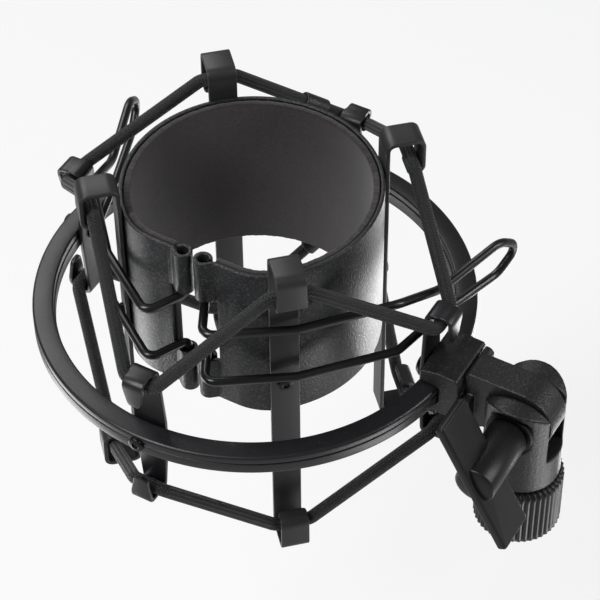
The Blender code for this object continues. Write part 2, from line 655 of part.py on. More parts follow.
def build_collar(stand):
    """Knurled collar with the stand thread, held on the post's neck by a clip."""
    shape = bmesh.new()
    sides = 2 * KNURLS
    roof = COLLAR_HEIGHT - COLLAR_ROOF
    hole = NECK_R + PIN_GAP
    bevel = 0.0008
    rows = [(THREAD_R + 0.0003, 0.0, 0), (COLLAR_R - bevel, 0.0, 0), (COLLAR_R, bevel, 1),
            (COLLAR_R, COLLAR_HEIGHT - bevel, 1), (COLLAR_R - bevel, COLLAR_HEIGHT, 0),
            (hole, COLLAR_HEIGHT, 0), (hole, roof, 0), (THREAD_R + 0.0003, roof, 0)]
    loops = []
    for radius, height, knurled in rows:
        loop = []
        for i in range(sides):
            a = 2 * pi * i / sides
            r = radius - knurled * KNURL_DEPTH * (i % 2)
            loop.append(shape.verts.new((r * cos(a), r * sin(a), height)))
        loops.append(loop)
    for low, high in zip(loops, loops[1:] + loops[:1]):
        for i in range(sides):
            j = (i + 1) % sides
            shape.faces.new((low[i], low[j], high[j], high[i]))
    put("knurled_collar", finish_mesh("knurled_collar", shape),
        paint("collar_metal", (0.05, 0.05, 0.052), 0.4, 0.6), stand)
    top = roof - PIN_GAP - GAP
    clip = [(NECK_R - 0.0010 + GAP, top - CLIP), (THREAD_R - 0.0004, top - CLIP),
            (THREAD_R - 0.0004, top), (NECK_R - 0.0010 + GAP, top)]
    put("retaining_clip", turned("retaining_clip", clip, 32, solid=False),
        paint("clip_steel", (0.4, 0.4, 0.41), 0.3, 1.0), stand)


def build():
    clear_scene()
    stand = empty("stand_frame", (0.0, 0.0, 0.0), turn=SWIVEL_AZ)
    pivot = empty("tilt_axis", (0.0, 0.0, PIVOT_HEIGHT), stand)
    arm_frame = empty("arm_frame", (-PIVOT_REACH, 0.0, PIVOT_DROP), pivot)
    cradle = empty("cradle_frame", (0.0, 0.0, 0.0), arm_frame, -SWIVEL_AZ)
    sleeve = empty("sleeve_frame", (0.0, 0.0, 0.0), cradle)
    build_ring(cradle)
    build_posts(cradle)
    build_sleeve(sleeve)
    build_straps(sleeve)
    build_handles(sleeve)
    build_cords(cradle)
    build_bracket(arm_frame)
    build_arm(arm_frame)
    build_post(stand)
    build_screw(stand, pivot)
    build_collar(stand)


build()
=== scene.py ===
import json

import bmesh
import bpy
import numpy as np
from mathutils import Matrix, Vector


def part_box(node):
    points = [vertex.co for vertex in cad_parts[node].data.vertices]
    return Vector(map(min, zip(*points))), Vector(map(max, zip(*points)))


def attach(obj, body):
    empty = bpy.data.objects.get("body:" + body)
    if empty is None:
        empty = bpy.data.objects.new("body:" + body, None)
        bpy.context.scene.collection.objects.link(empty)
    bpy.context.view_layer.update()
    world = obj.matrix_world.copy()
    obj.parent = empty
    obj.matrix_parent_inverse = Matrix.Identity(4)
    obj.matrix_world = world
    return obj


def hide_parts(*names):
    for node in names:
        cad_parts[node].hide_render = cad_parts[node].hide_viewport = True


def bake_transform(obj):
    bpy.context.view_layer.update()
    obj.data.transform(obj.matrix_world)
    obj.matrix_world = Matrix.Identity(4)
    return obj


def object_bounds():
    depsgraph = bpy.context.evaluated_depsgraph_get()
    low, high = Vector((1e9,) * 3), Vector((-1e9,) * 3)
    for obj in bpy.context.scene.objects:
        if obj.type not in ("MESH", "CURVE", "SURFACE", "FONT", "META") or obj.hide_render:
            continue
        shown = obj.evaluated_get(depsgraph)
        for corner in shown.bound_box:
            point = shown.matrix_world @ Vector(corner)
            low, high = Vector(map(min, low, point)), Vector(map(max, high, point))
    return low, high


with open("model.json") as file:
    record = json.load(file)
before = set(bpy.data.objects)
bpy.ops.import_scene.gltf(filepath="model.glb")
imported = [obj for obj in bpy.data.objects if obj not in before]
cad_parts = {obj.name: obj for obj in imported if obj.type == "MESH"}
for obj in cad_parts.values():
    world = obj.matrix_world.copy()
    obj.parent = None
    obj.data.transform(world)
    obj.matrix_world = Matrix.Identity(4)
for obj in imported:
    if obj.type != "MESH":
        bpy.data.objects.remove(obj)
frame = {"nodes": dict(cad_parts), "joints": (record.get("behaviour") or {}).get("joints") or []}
cadBox = [list(corner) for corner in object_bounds()]
print("frame loaded:", len(frame["nodes"]), "nodes")

# Sizes below are in millimetres. Shapes are made round the ring's centre (z = 0 at its top face)
# or round the stand's tilt axis, and moved into place when their mesh is made.
mm = 0.001
ringLow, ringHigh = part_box("outer_ring")
ringCentre = np.array([(ringLow.x + ringHigh.x) / 2, (ringLow.y + ringHigh.y) / 2, ringHigh.z])
tiltJoint = next(joint for joint in frame["joints"] if joint["name"] == "tilt")
pivot = np.array(tiltJoint["pos_m"])
swivelAngle = -30
splitAngle = -120


# Points, paths and surfaces

def turnZ(points, degrees):
    # the points turned about Z
    angle = np.radians(degrees)
    c, s = np.cos(angle), np.sin(angle)
    return points @ np.array([[c, s, 0], [-s, c, 0], [0, 0, 1]])


def onCradle(points, degrees=0):
    return turnZ(points, degrees) * mm + ringCentre


def onSwivel(points):
    return turnZ(points, swivelAngle) * mm + pivot


def unit(vectors):
    return vectors / np.linalg.norm(vectors, axis=-1, keepdims=True)


def fillet(corners, radii, steps=8, closed=False):
    # the line through the corners, each corner replaced by an arc that touches both of its sides
    corners = np.asarray(corners, float)
    count = len(corners)
    radii = np.broadcast_to(radii, count)
    pieces = []
    for i in range(count):
        if not closed and i in (0, count - 1):
            pieces.append(corners[i][None])
            continue
        back = corners[i - 1] - corners[i]
        ahead = corners[(i + 1) % count] - corners[i]
        lengths = np.linalg.norm(back), np.linalg.norm(ahead)
        back, ahead = back / lengths[0], ahead / lengths[1]
        half = np.arccos(np.clip(back @ ahead, -1, 1)) / 2
        reach = min(radii[i] / np.tan(half), 0.46 * lengths[0], 0.46 * lengths[1])
        bow = reach * np.tan(half)
        centre = corners[i] + unit(back + ahead) * reach / np.cos(half)
        start, end = corners[i] + back * reach - centre, corners[i] + ahead * reach - centre
        sweep = np.arccos(np.clip(start @ end / bow ** 2, -1, 1))
        share = np.linspace(0, 1, steps + 1)[:, None]
        spokes = start * np.sin((1 - share) * sweep) + end * np.sin(share * sweep)
        pieces.append(centre + unit(spokes) * bow)
    return np.concatenate(pieces)


def lengthAlong(path):
    return np.concatenate([[0], np.cumsum(np.linalg.norm(np.diff(path, axis=0), axis=1))])


def spaced(path, step, closed=False):
    # the same path with its points a step apart along its length
    if closed:
        path = np.concatenate([path, path[:1]])
    along = lengthAlong(path)
    keep = np.concatenate([[True], np.diff(along) > 1e-6])
    path, along = path[keep], along[keep]
    count = max(int(along[-1] / step), 4)
    marks = np.linspace(0, along[-1], count + 1)[:count if closed else count + 1]
    return np.stack([np.interp(marks, along, path[:, k]) for k in range(3)], -1)


def gridPart(grid, closedRows=False, uvAlong=None):
    # one quad per cell; columns close on themselves, rows do too in a ring, and open ends get a cap
    rows, cols = grid.shape[:2]
    index = np.arange(rows * cols).reshape(rows, cols)
    low = index if closedRows else index[:-1]
    high = np.roll(index, -1, axis=0) if closedRows else index[1:]
    quads = np.stack([low, np.roll(low, -1, 1), np.roll(high, -1, 1), high], -1).reshape(-1, 4)
    caps = [] if closedRows else [index[0][::-1].tolist(), index[-1].tolist()]
    across = np.arange(cols + 1) / cols
    along = np.arange(rows + 1) if uvAlong is None else np.append(uvAlong, uvAlong[-1] + uvAlong[1])
    v0, v1 = along[:len(low)], along[1:len(low) + 1]
    u0, u1 = across[:-1], across[1:]
    uvs = np.stack([np.stack(np.broadcast_arrays(u, v[:, None]), -1)
                    for u, v in ((u0, v0), (u1, v0), (u1, v1), (u0, v1))], -2).reshape(-1, 2)
    return grid.reshape(-1, 3), quads, caps, uvs


def strip(path, widthDir, thick, widths, edge=0.22, edgeSteps=3):
    # a rounded rectangle carried along the path: width along widthDir, thickness across it, and both
    # ends drawn in by the edge radius
    widthDir = np.broadcast_to(widthDir, path.shape)
    tangent = unit(np.gradient(path, axis=0))
    bow = np.linspace(0, np.pi / 2, edgeSteps + 1)
    shift, shrink = edge * np.sin(bow[::-1]), edge * (1 - np.cos(bow[::-1]))
    path = np.concatenate([path[:1] + tangent[:1] * (edge - shift[:-1, None]), path[1:-1],
                           path[-1:] - tangent[-1:] * (edge - shift[:-1][::-1, None])])
    pad = edgeSteps - 1
    tangent = np.concatenate([tangent[:1].repeat(pad, 0), tangent, tangent[-1:].repeat(pad, 0)])
    widthDir = np.concatenate([widthDir[:1].repeat(pad, 0), widthDir, widthDir[-1:].repeat(pad, 0)])
    widths = np.broadcast_to(widths, len(tangent) - 2 * pad)
    widths = np.concatenate([widths[:1].repeat(pad), widths, widths[-1:].repeat(pad)])
    draw = np.zeros(len(path))
    draw[:edgeSteps] = shrink[:-1]
    draw[-edgeSteps:] = shrink[:-1][::-1]
    quarter = np.linspace(0, np.pi / 2, edgeSteps + 1)
    turn = np.concatenate([quarter + k * np.pi / 2 for k in range(4)])
    corner = np.repeat([[1, 1], [-1, 1], [-1, -1], [1, -1]], edgeSteps + 1, axis=0)
    arcs = np.stack([np.cos(turn), np.sin(turn)], -1)
    half = np.stack([widths / 2, np.full(len(widths), thick / 2)], -1) - draw[:, None]
    radius = np.minimum(edge, half.min(1))[:, None, None]
    section = corner * (half[:, None] - radius) + arcs * radius
    normal = unit(np.cross(widthDir, tangent))
    return path[:, None] + section[..., :1] * widthDir[:, None] + section[..., 1:] * normal[:, None]


def tube(path, radius, sides=20, closed=False):
    # a circle carried along the path without twisting
    if closed:
        tangent = unit(np.roll(path, -1, 0) - np.roll(path, 1, 0))
        side = unit(np.cross(tangent, [0, 0, 1]))
    else:
        tangent = unit(np.gradient(path, axis=0))
        side = np.empty_like(path)
        side[0] = unit(np.cross(tangent[0], [0.31, 0.95, 0]))
        for i in range(1, len(path)):
            side[i] = unit(side[i - 1] - tangent[i] * (side[i - 1] @ tangent[i]))
    up = np.cross(side, tangent)
    turn = np.linspace(0, 2 * np.pi, sides, endpoint=False)
    circle = np.cos(turn)[:, None] * side[:, None] + np.sin(turn)[:, None] * up[:, None]
    return path[:, None] + radius * circle


def cornerDraw(fromEnd, corner):
    # how far a strip's side is drawn in, at a distance from its end, by a round corner
    return corner - np.sqrt(corner ** 2 - np.clip(corner - fromEnd, 0, corner) ** 2)


def turned(profile, sides=64):
    # (radius, height) points turned about Z
    profile = np.asarray(profile, float)
    turn = np.linspace(0, 2 * np.pi, sides, endpoint=False)
    around = np.stack([np.cos(turn), np.sin(turn)], -1)
    flat = profile[:, :1, None] * around
    return np.concatenate([flat, np.broadcast_to(profile[:, 1, None, None], (*flat.shape[:2], 1))], -1)


def softProfile(corners, radius, steps=4):
    # a profile's corners rounded in its own plane
    flat = np.asarray(corners, float)
    rounded = fillet(np.column_stack([flat, np.zeros(len(flat))]), radius, steps)
    return rounded[:, :2]


def softPrism(outline, low, high, edge, steps=4):
    # a plan outline drawn up in Z, its top and bottom edges rounded by drawing the outline in
    outline = np.asarray(outline, float)
    along = np.roll(outline, -1, 0) - np.roll(outline, 1, 0)
    inward = unit(np.stack([-along[:, 1], along[:, 0]], -1))
    bow = np.linspace(0, np.pi / 2, steps + 1)
    inset = edge * (1 - np.sin(bow))
    rise = edge * (1 - np.cos(bow))
    inset = np.concatenate([inset, inset[::-1]])
    height = np.concatenate([low + rise, high - rise[::-1]])
    plan = outline[None] + inset[:, None, None] * inward[None]
    return np.concatenate([plan, np.broadcast_to(height[:, None, None], (*plan.shape[:2], 1))], -1)


def addPiece(name, parts, material, body, nodes, sharp=40):
    # one mesh object in its final place, riding on its body in place of its CAD nodes
    points, faces, uvs, first = [], [], [], 0
    for partPoints, quads, caps, partUvs in parts:
        points.append(partPoints)
        faces += (quads + first).tolist() + [[i + first for i in cap] for cap in caps]
        uvs += [partUvs, np.zeros((sum(map(len, caps)), 2))]
        first += len(partPoints)
    mesh = bpy.data.meshes.new(name)
    mesh.from_pydata(np.concatenate(points), [], faces)
    layer = mesh.uv_layers.new(name="along")
    layer.data.foreach_set("uv", np.concatenate(uvs).astype(np.float32).ravel())
    work = bmesh.new()
    work.from_mesh(mesh)
    bmesh.ops.recalc_face_normals(work, faces=work.faces)
    work.to_mesh(mesh)
    work.free()
    return finishPiece(name, mesh, material, body, nodes, sharp)


def finishPiece(name, mesh, material, body, nodes, sharp=40):
    mesh.shade_smooth()
    mesh.set_sharp_from_angle(angle=np.radians(sharp))
    mesh.materials.clear()
    mesh.materials.append(material)
    piece = bpy.data.objects.new(name, mesh)
    bpy.context.scene.collection.objects.link(piece)
    if body:
        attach(piece, body)
    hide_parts(*nodes)
    return piece


def castPiece(name, source, material, body, slot, voxel=0, smoothing=0):
    # the CAD solid with its edges softened as a casting's are: resampled on a fine grid, then relaxed;
    # a voxel of 0 keeps the solid as it is
    sharpCast, sharpTurned = 60, 35
    mesh = frame["nodes"][source].data.copy()
    work = bmesh.new()
    work.from_mesh(mesh)
    bmesh.ops.remove_doubles(work, verts=work.verts, dist=2e-6)
    work.to_mesh(mesh)
    work.free()
    if voxel:
        blank = bpy.data.objects.new(name + "Blank", mesh)
        bpy.context.scene.collection.objects.link(blank)
        remesh = blank.modifiers.new("resample", "REMESH")
        remesh.mode = "VOXEL"
        remesh.voxel_size = voxel * mm
        relax = blank.modifiers.new("relax", "SMOOTH")
        relax.factor = 0.5
        relax.iterations = smoothing
        bpy.context.view_layer.update()
        ready = blank.evaluated_get(bpy.context.evaluated_depsgraph_get())
        mesh = bpy.data.meshes.new_from_object(ready)
        bpy.data.objects.remove(blank)
    return finishPiece(name, mesh, material, body, [source], sharpCast if voxel else sharpTurned)


# Materials

def node(tree, kind, inputs=None, **settings):
    made = tree.nodes.new(kind)
    for key, value in settings.items():
        setattr(made, key, value)
    for key, value in (inputs or {}).items():
        if isinstance(value, bpy.types.NodeSocket):
            tree.links.new(value, made.inputs[key])
        else:
            made.inputs[key].default_value = value
    return made


def newGroup(name, inputs, outputs):
    group = bpy.data.node_groups.new(name, "ShaderNodeTree")
    for label, kind, value in inputs:
        socket = group.interface.new_socket(label, in_out="INPUT", socket_type=kind)
        if value is not None:
            socket.default_value = value
    for label, kind in outputs:
        group.interface.new_socket(label, in_out="OUTPUT", socket_type=kind)
    return group, group.nodes.new("NodeGroupInput").outputs, group.nodes.new("NodeGroupOutput")


def sums(tree, operation, a, b=0.0, c=0.0):
    return node(tree, "ShaderNodeMath", {0: a, 1: b, 2: c}, operation=operation).outputs[0]


def blend(tree, factor, a, b):
    mixed = node(tree, "ShaderNodeMix", data_type="RGBA")
    tree.links.new(factor, mixed.inputs["Factor"])
    for socket, value in (("A", a), ("B", b)):
        made = next(s for s in mixed.inputs if s.name == socket and s.type == "RGBA")
        if isinstance(value, bpy.types.NodeSocket):
            tree.links.new(value, made)
        else:
            made.default_value = (*value, 1)
    return next(s for s in mixed.outputs if s.type == "RGBA")


def makeGrain():
    # fine lumps of powder paint or moulded texture, and a mask of the specks that catch the light
    group, given, out = newGroup(
        "paintGrain",
        [("Vector", "NodeSocketVector", None), ("Lumps per metre", "NodeSocketFloat", 4000.0),
         ("Speck share", "NodeSocketFloat", 0.6)],
        [("Height", "NodeSocketFloat"), ("Specks", "NodeSocketFloat")])
    lumps = node(group, "ShaderNodeTexNoise", {"Vector": given["Vector"], "Scale": given["Lumps per metre"],
                                               "Detail": 3.0, "Roughness": 0.6})
    cells = node(group, "ShaderNodeTexVoronoi", {"Vector": given["Vector"],
                                                 "Scale": given["Lumps per metre"]})
    height = sums(group, "MULTIPLY_ADD", cells.outputs["Distance"], -0.5, lumps.outputs["Fac"])
    specks = node(group, "ShaderNodeMapRange", {"Value": lumps.outputs["Fac"],
                                                "From Min": given["Speck share"], "From Max": 0.78})
    group.links.new(height, out.inputs["Height"])
    group.links.new(specks.outputs[0], out.inputs["Specks"])
    return group


def makeHandling():
    # broad soft patches where handling has rubbed the finish, and a thin settled dust
    group, given, out = newGroup(
        "handling",
        [("Vector", "NodeSocketVector", None), ("Patches per metre", "NodeSocketFloat", 60.0)],
        [("Rub", "NodeSocketFloat"), ("Dust", "NodeSocketFloat")])
    patches = node(group, "ShaderNodeTexNoise", {"Vector": given["Vector"],
                                                 "Scale": given["Patches per metre"],
                                                 "Detail": 4.0, "Roughness": 0.55})
    rub = node(group, "ShaderNodeMapRange", {"Value": patches.outputs["Fac"], "From Min": 0.35,
                                             "From Max": 0.7})
    dots = node(group, "ShaderNodeTexNoise", {"Vector": given["Vector"], "Scale": 2600.0, "Detail": 2.0})
    dotMask = node(group, "ShaderNodeMapRange", {"Value": dots.outputs["Fac"], "From Min": 0.66,
                                                 "From Max": 0.76})
    facing = node(group, "ShaderNodeNewGeometry")
    up = node(group, "ShaderNodeSeparateXYZ", {"Vector": facing.outputs["Normal"]})
    level = sums(group, "MAXIMUM", up.outputs["Z"], 0.0)
    group.links.new(rub.outputs[0], out.inputs["Rub"])
    group.links.new(sums(group, "MULTIPLY", dotMask.outputs[0], level), out.inputs["Dust"])
    return group


def makeBraid():
    # two sets of slanting yarns that pass over and under each other: u goes round the cord, v along
    # it in turns, and the yarn on top is chosen by a chequer of the two sets; the second output lightens
    # the colour of the yarn tops as a painted highlight, which leaves painted shade between the yarns
    group, given, out = newGroup(
        "cordBraid",
        [("UV", "NodeSocketVector", None), ("Yarns", "NodeSocketFloat", 10.0),
         ("Slant", "NodeSocketFloat", 1.6)],
        [("Height", "NodeSocketFloat"), ("Crown painted highlight", "NodeSocketFloat")])
    split = node(group, "ShaderNodeSeparateXYZ", {"Vector": given["UV"]})
    lean = sums(group, "MULTIPLY", split.outputs["Y"], given["Slant"])
    right = sums(group, "MULTIPLY", sums(group, "ADD", split.outputs["X"], lean), given["Yarns"])
    left = sums(group, "MULTIPLY", sums(group, "SUBTRACT", split.outputs["X"], lean), given["Yarns"])
    crowns = []
    for way in (right, left):
        crowns.append(sums(group, "ABSOLUTE", sums(group, "SINE", sums(group, "MULTIPLY", way, np.pi))))
    steps = sums(group, "ADD", sums(group, "FLOOR", right), sums(group, "FLOOR", left))
    over = sums(group, "FLOORED_MODULO", steps, 2.0)
    rightTop = sums(group, "MULTIPLY", crowns[0], over)
    leftTop = sums(group, "MULTIPLY", crowns[1], sums(group, "SUBTRACT", 1.0, over))
    top = sums(group, "ADD", rightTop, leftTop)
    group.links.new(sums(group, "POWER", top, 0.6), out.inputs["Height"])
    # the cubed top only tints the colour: a painted highlight on each yarn's crown
    group.links.new(sums(group, "POWER", top, 3.0), out.inputs["Crown painted highlight"])
    return group


grainGroup = makeGrain()
handlingGroup = makeHandling()
braidGroup = makeBraid()


def newMaterial(name, roughness, metallic=0.0, **sockets):
    material = bpy.data.materials.new(name)
    material.use_nodes = True
    tree = material.node_tree
    shader = tree.nodes["Principled BSDF"]
    shader.inputs["Roughness"].default_value = roughness
    shader.inputs["Metallic"].default_value = metallic
    for label, value in sockets.items():
        shader.inputs[label.replace("_", " ")].default_value = value
    return material, tree, shader, node(tree, "ShaderNodeTexCoord")


def coated(name, look):
    # paint or moulded plastic: fine grain in its relief and gloss, rubbed patches, a little dust
    material, tree, shader, coords = newMaterial(name, look["roughness"], look["metallic"],
                                                 Specular_IOR_Level=look.get("specular", 0.5))
    where = coords.outputs["Object"]
    grain = node(tree, "ShaderNodeGroup", node_tree=grainGroup)
    handling = node(tree, "ShaderNodeGroup", node_tree=handlingGroup)
    tree.links.new(where, grain.inputs["Vector"])
    tree.links.new(where, handling.inputs["Vector"])
    grain.inputs["Lumps per metre"].default_value = look["lumps"]
    grain.inputs["Speck share"].default_value = look.get("speckShare", 0.6)
    speckled = blend(tree, grain.outputs["Specks"], look["colour"], look["speckColour"])
    dusty = blend(tree, sums(tree, "MULTIPLY", handling.outputs["Dust"], look["dust"]), speckled,
                  (0.35, 0.34, 0.33))
    tree.links.new(dusty, shader.inputs["Base Color"])
    gloss = sums(tree, "MULTIPLY_ADD", grain.outputs["Specks"], -look["glint"], look["roughness"])
    gloss = sums(tree, "MULTIPLY_ADD", handling.outputs["Rub"], -look["rub"], gloss)
    tree.links.new(gloss, shader.inputs["Roughness"])
    bump = node(tree, "ShaderNodeBump", {"Height": grain.outputs["Height"], "Strength": look["relief"],
                                         "Distance": look["depth"] * mm})
    tree.links.new(bump.outputs["Normal"], shader.inputs["Normal"])
    return material


ringPaint = coated("ringPaint", {
    "colour": (0.010, 0.010, 0.012), "speckColour": (0.035, 0.035, 0.038), "roughness": 0.40,
    "metallic": 0.0, "lumps": 3200.0, "glint": 0.10, "rub": 0.05, "dust": 0.12, "relief": 0.5,
    "depth": 0.03})
sleevePaint = coated("sleevePaint", {
    "colour": (0.016, 0.017, 0.018), "speckColour": (0.10, 0.10, 0.11), "roughness": 0.40,
    "metallic": 0.25, "lumps": 1900.0, "speckShare": 0.52, "glint": 0.12, "rub": 0.04, "dust": 0.05,
    "relief": 0.9, "depth": 0.09})
strapPaint = coated("strapPaint", {
    "colour": (0.026, 0.026, 0.028), "speckColour": (0.05, 0.05, 0.05), "roughness": 0.42,
    "metallic": 0.1, "lumps": 3200.0, "glint": 0.10, "rub": 0.05, "dust": 0.10, "relief": 0.5,
    "depth": 0.03})
castPaint = coated("castPaint", {
    "colour": (0.011, 0.011, 0.012), "speckColour": (0.06, 0.06, 0.06), "roughness": 0.46,
    "metallic": 0.0, "lumps": 1700.0, "speckShare": 0.56, "glint": 0.14, "rub": 0.06, "dust": 0.18,
    "relief": 0.9, "depth": 0.09})
knobPlastic = coated("knobPlastic", {
    "colour": (0.008, 0.008, 0.009), "speckColour": (0.02, 0.02, 0.02), "roughness": 0.42,
    "metallic": 0.0, "specular": 0.35, "lumps": 5000.0, "glint": 0.05, "rub": 0.10, "dust": 0.15,
    "relief": 0.15, "depth": 0.02})
collarPaint = coated("collarPaint", {
    "colour": (0.014, 0.014, 0.015), "speckColour": (0.05, 0.05, 0.05), "roughness": 0.38,
    "metallic": 0.3, "lumps": 4200.0, "glint": 0.08, "rub": 0.08, "dust": 0.12, "relief": 0.3,
    "depth": 0.02})
wireCoat = coated("wireCoat", {
    "colour": (0.006, 0.006, 0.007), "speckColour": (0.010, 0.010, 0.011), "roughness": 0.33,
    "metallic": 0.0, "lumps": 900.0, "glint": 0.03, "rub": 0.05, "dust": 0.04, "relief": 0.08,
    "depth": 0.02, "specular": 0.6})
blackSteel = coated("blackSteel", {
    "colour": (0.012, 0.012, 0.012), "speckColour": (0.04, 0.04, 0.04), "roughness": 0.32,
    "metallic": 0.6, "lumps": 3000.0, "glint": 0.08, "rub": 0.06, "dust": 0.05, "relief": 0.2,
    "depth": 0.02})
plainSteel = coated("plainSteel", {
    "colour": (0.46, 0.46, 0.47), "speckColour": (0.55, 0.55, 0.55), "roughness": 0.30,
    "metallic": 1.0, "lumps": 2600.0, "glint": 0.06, "rub": 0.06, "dust": 0.05, "relief": 0.15,
    "depth": 0.02})


def makeFelt():
    # matted fibres: a dense noise in the relief, and stray pale fibres in the colour
    material, tree, shader, coords = newMaterial("felt", 1.0, Sheen_Weight=0.25, Sheen_Roughness=0.6,
                                                 Specular_IOR_Level=0.2)
    where = coords.outputs["Object"]
    matted = node(tree, "ShaderNodeTexNoise", {"Vector": where, "Scale": 2200.0, "Detail": 6.0,
                                               "Roughness": 0.75, "Distortion": 1.5})
    broad = node(tree, "ShaderNodeTexNoise", {"Vector": where, "Scale": 120.0, "Detail": 3.0})
    fibres = node(tree, "ShaderNodeMapRange", {"Value": matted.outputs["Fac"], "From Min": 0.42,
                                               "From Max": 0.74})
    base = blend(tree, broad.outputs["Fac"], (0.013, 0.010, 0.011), (0.023, 0.019, 0.020))
    colour = blend(tree, fibres.outputs[0], base, (0.055, 0.046, 0.048))
    tree.links.new(colour, shader.inputs["Base Color"])
    bump = node(tree, "ShaderNodeBump", {"Height": matted.outputs["Fac"], "Strength": 0.9,
                                         "Distance": 0.15 * mm})
    tree.links.new(bump.outputs["Normal"], shader.inputs["Normal"])
    return material


def makeCordCover():
    material, tree, shader, coords = newMaterial("cordCover", 0.62, Sheen_Weight=0.15, Sheen_Roughness=0.4)
    braid = node(tree, "ShaderNodeGroup", node_tree=braidGroup)
    tree.links.new(coords.outputs["UV"], braid.inputs["UV"])
    fuzz = node(tree, "ShaderNodeTexNoise", {"Vector": coords.outputs["Object"], "Scale": 6000.0,
                                             "Detail": 2.0})
    # yarn tops painted lighter and the gaps between them darker: painted highlight and painted shade
    colour = blend(tree, braid.outputs["Crown painted highlight"], (0.004, 0.004, 0.005), (0.022, 0.023, 0.025))
    tree.links.new(colour, shader.inputs["Base Color"])
    height = sums(tree, "MULTIPLY_ADD", fuzz.outputs["Fac"], 0.25, braid.outputs["Height"])
    bump = node(tree, "ShaderNodeBump", {"Height": height, "Strength": 1.0, "Distance": 0.22 * mm})
    tree.links.new(bump.outputs["Normal"], shader.inputs["Normal"])
    return material


felt = makeFelt()
cordCover = makeCordCover()
print("materials made")


# Ring, posts and their rivets

ring = {"outer": 50.0, "inner": 44.95, "height": 5.0, "edge": 0.7, "groove": 0.35, "grooveAt": -2.0,
        "innerStepAt": -1.7, "innerStep": 0.25}


def makeRing():
    # a turned section: soft shoulders, a fine groove outside and a small step inside
    out, inn, low, groove = ring["outer"], ring["inner"], -ring["height"], ring["groove"]
    at, step = ring["grooveAt"], ring["innerStepAt"]
    corners = [(inn + 2, 0), (out, 0), (out, at + 0.25), (out - groove, at + 0.12),
               (out - groove, at - 0.12), (out, at - 0.25), (out, low), (inn, low), (inn, step - 0.1),
               (inn + ring["innerStep"], step + 0.1), (inn + ring["innerStep"], 0), (inn + 2, 0)]
    radii = [0, ring["edge"], 0.12, 0.1, 0.1, 0.12, ring["edge"], 0.5, 0.1, 0.1, 0.4, 0]
    profile = softProfile(corners, np.array(radii) + 1e-3)[1:]
    grid = turned(profile, 288)
    return [gridPart(onCradle(grid), closedRows=True)]


addPiece("outerRing", makeRing(), ringPaint, "cradle", ["outer_ring"], 50)

post = {"line": 44.19, "rise": 18.7, "middle": -2.5, "reach": 5.6, "tongue": 7.2, "sheet": 1.0,
        "base": 8.0, "neck": 5.5, "tip": 3.0, "taper": 5, "bend": 1.4, "corner": 1.2, "draw": 0.9,
        "angles": [-30, 60, 150, 240]}


def makePost(angle):
    # a sheet strip in the ring's radial plane, waisted towards its hooks, tongue ends rounded
    out, rise, mid = post["line"] + post["reach"], post["rise"], post["middle"]
    upper = [(out - 0.3, 0, mid + rise - post["tongue"]), (out, 0, mid + rise),
             (post["line"], 0, mid + rise)]
    lower = [(x, 0, 2 * mid - z) for x, y, z in reversed(upper)]
    path = spaced(fillet(upper + lower, post["bend"]), 0.3)
    reach = np.abs(path[:, 2] - mid)
    along = lengthAlong(path)
    fromEnd = np.minimum(along, along[-1] - along)
    onHook = np.clip((path[:, 0] - post["line"]) / post["reach"], 0, 1)
    body = post["base"] + (post["neck"] - post["base"]) * np.clip((reach - 3) / (rise - 3), 0, 1)
    tongue = post["neck"] - 0.5
    tongueWidth = tongue - (tongue - post["tip"]) * np.clip(1 - fromEnd / post["taper"], 0, 1)
    width = np.where(onHook > 0.5, np.minimum(tongueWidth, body), body)
    width = width - 2 * cornerDraw(fromEnd, post["corner"]) * post["draw"]
    return [gridPart(onCradle(strip(path, [0, 1, 0], post["sheet"], width), angle))]


for number, angle in enumerate(post["angles"], 1):
    addPiece(f"ringPost{number}", makePost(angle), ringPaint, "cradle", [f"ring_post_{number}"])

rivet = {"shank": 1.1, "head": 1.8, "rise": 0.8, "dimple": 0.75, "dimpleDeep": 0.35}


def rivetHead(start, way):
    # a low dome with a socket in its middle, turned about the radius; way is +1 for an outer head
    r, h, d, k = rivet["head"], rivet["rise"], rivet["dimple"], rivet["dimpleDeep"]
    bow = np.linspace(0, np.pi / 2, 7)
    rim = [(r - 0.35 + 0.35 * np.cos(a), h * 0.45 + 0.55 * h * np.sin(a) - 0.12 * np.sin(a)) for a in bow]
    profile = [(rivet["shank"], -0.4), (rivet["shank"], 0), (r, 0), (r, h * 0.4)] + rim
    profile += [(d + 0.15, h), (d, h - 0.08), (d - 0.1, h - k), (0.05, h - k - 0.05)]
    grid = turned(profile, 32)
    heights = start + way * grid[..., 2]
    return np.stack([heights, grid[..., 0], grid[..., 1] * way], -1)


def pinAlong(start, end, radius):
    grid = turned([(radius, start), (radius, end)], 20)
    return np.stack([grid[..., 2], grid[..., 0], grid[..., 1]], -1)


postInner = post["line"] - post["sheet"] / 2 - 0.2
for number, angle in enumerate(post["angles"][1:], 1):
    shapes = [rivetHead(ring["outer"] + 0.05, 1), rivetHead(postInner, -1),
              pinAlong(postInner, ring["outer"], rivet["shank"])]
    lift = np.array([0, 0, post["middle"]])
    addPiece(f"postRivet{number}", [gridPart(onCradle(shape + lift, angle)) for shape in shapes],
             blackSteel, "cradle", [f"post_rivet_{number}"])
print("ring and posts made")


# Sleeve, felt and straps

sleeve = {"outer": 28.7, "sheet": 0.9, "top": 32.2, "bottom": -9.4, "flat": 24.9, "blend": 14.0,
          "notch": 5.8, "knuckleAt": 2.45, "knuckleRound": 1.65, "topKnuckle": 11.4,
          "bottomKnuckle": 12.0, "leadIn": 50, "rolled": 292}
lining = {"thick": 1.5, "gap": 0.2, "end": 4.9, "short": 0.25, "edge": 0.45, "step": 0.35}


